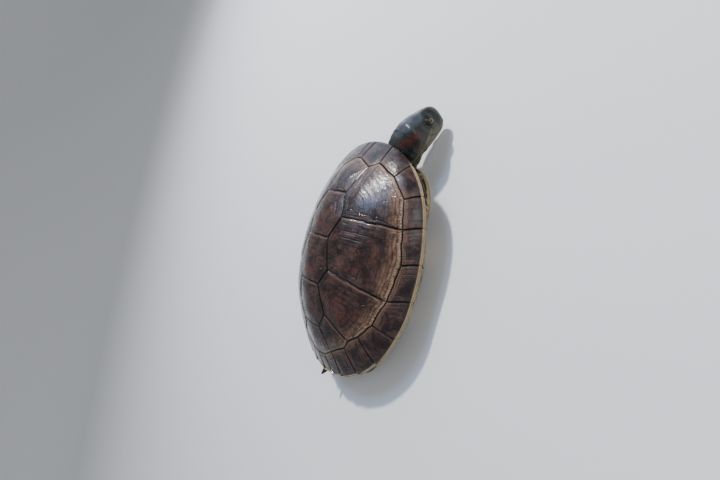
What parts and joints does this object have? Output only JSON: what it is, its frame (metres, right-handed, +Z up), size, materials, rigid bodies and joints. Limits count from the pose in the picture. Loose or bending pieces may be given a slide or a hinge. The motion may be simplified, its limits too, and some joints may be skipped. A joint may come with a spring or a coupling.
{
  "type": "red-eared slider turtle",
  "caption": "Life-size red-eared slider turtle at rest on its plastron, legs drawn in, neck turned to its right and head lowered.",
  "frame": {"origin": "on the floor under the middle of the whole animal's bounding box", "axes": "the head points along -Y and the tail along +Y, +X is the turtle's left, +Z is up"},
  "size_m": [0.1734, 0.2691, 0.0777],
  "materials": {
    "carapace_horn": "wet, glossy keratin with growth rings",
    "marginal_horn": "wet, glossy keratin with a pale outer edge",
    "plastron_horn": "smooth keratin, yellow with dark smudges",
    "skin": "damp scaly skin with thin pale stripes and a dull red ear patch",
    "eye": "wet and clear, olive-yellow iris with a dark bar",
    "claw": "dark horn, smooth",
    "beak": "smooth horn, satin"
  },
  "bodies": {
    "root": {"nuchal": "carapace_horn", "vertebral_1": "carapace_horn", "vertebral_2": "carapace_horn", "vertebral_3": "carapace_horn", "vertebral_4": "carapace_horn", "vertebral_5": "carapace_horn", "costal_left_1": "carapace_horn", "costal_left_2": "carapace_horn", "costal_left_3": "carapace_horn", "costal_left_4": "carapace_horn", "marginal_left_01": "marginal_horn", "marginal_left_02": "marginal_horn", "marginal_left_03": "marginal_horn", "marginal_left_04": "marginal_horn", "marginal_left_05": "marginal_horn", "marginal_left_06": "marginal_horn", "marginal_left_07": "marginal_horn", "marginal_left_08": "marginal_horn", "marginal_left_09": "marginal_horn", "marginal_left_10": "marginal_horn", "marginal_left_11": "marginal_horn", "marginal_left_12": "marginal_horn", "gular_left": "plastron_horn", "humeral_left": "plastron_horn", "pectoral_left": "plastron_horn", "abdominal_left": "plastron_horn", "femoral_left": "plastron_horn", "anal_left": "plastron_horn", "foreleg_left": "skin", "hind_leg_left": "skin", "eye_left": "eye", "costal_right_1": "carapace_horn", "costal_right_2": "carapace_horn", "costal_right_3": "carapace_horn", "costal_right_4": "carapace_horn", "marginal_right_01": "marginal_horn", "marginal_right_02": "marginal_horn", "marginal_right_03": "marginal_horn", "marginal_right_04": "marginal_horn", "marginal_right_05": "marginal_horn", "marginal_right_06": "marginal_horn", "marginal_right_07": "marginal_horn", "marginal_right_08": "marginal_horn", "marginal_right_09": "marginal_horn", "marginal_right_10": "marginal_horn", "marginal_right_11": "marginal_horn", "marginal_right_12": "marginal_horn", "gular_right": "plastron_horn", "humeral_right": "plastron_horn", "pectoral_right": "plastron_horn", "abdominal_right": "plastron_horn", "femoral_right": "plastron_horn", "anal_right": "plastron_horn", "foreleg_right": "skin", "hind_leg_right": "skin", "eye_right": "eye", "trunk": "skin", "neck": "skin", "tail": "skin", "head": "skin"}
  },
  "joints": []
}
